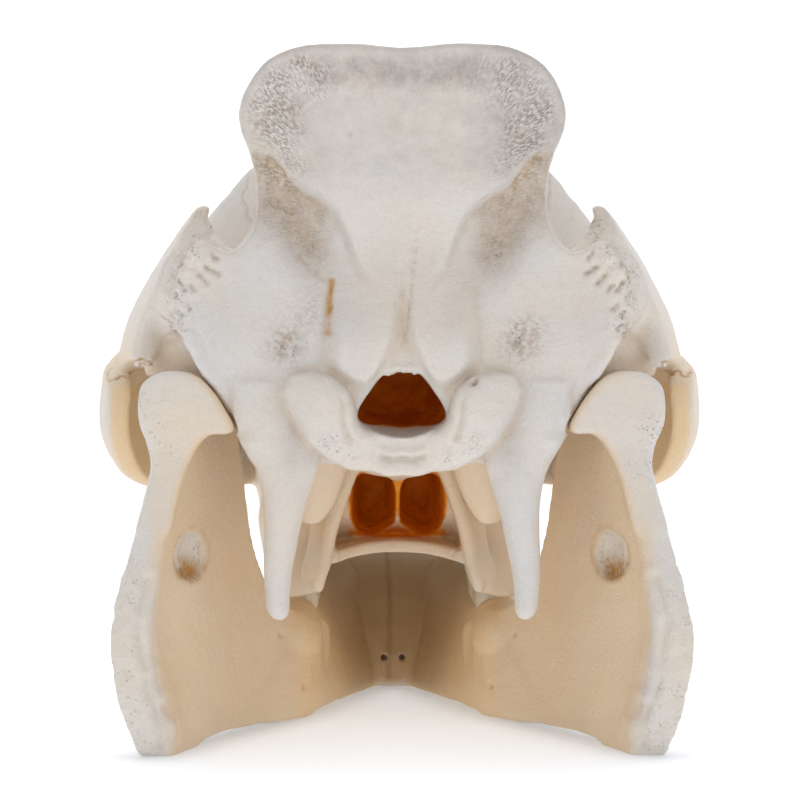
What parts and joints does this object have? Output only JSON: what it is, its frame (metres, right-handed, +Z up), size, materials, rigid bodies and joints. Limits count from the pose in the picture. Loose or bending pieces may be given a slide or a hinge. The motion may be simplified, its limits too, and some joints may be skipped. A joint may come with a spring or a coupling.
{
  "type": "pig skull",
  "caption": "Life-size skull of a young adult pig with its lower jaw, resting on the jaw as on a museum shelf.",
  "frame": {"origin": "on the floor under the centre of the skull's bounding box", "axes": "+Z up, snout towards -Y, the animal's left side towards +X"},
  "size_m": [0.1591, 0.2693, 0.1787],
  "materials": {
    "bone": "dry matt bone",
    "jaw_bone": "dry matt bone with a warm stain",
    "enamel": "smooth enamel"
  },
  "bodies": {
    "root": {"occipital": "bone", "parietal": "bone", "frontal": "bone", "sphenoid": "bone", "temporal_left": "bone", "temporal_right": "bone", "zygomatic_left": "bone", "zygomatic_right": "bone", "maxilla": "bone", "nasal": "bone", "premaxilla": "bone", "mandible": "jaw_bone", "tusk_upper_left": "enamel", "tusk_upper_right": "enamel", "tusk_lower_left": "enamel", "tusk_lower_right": "enamel"}
  },
  "joints": []
}
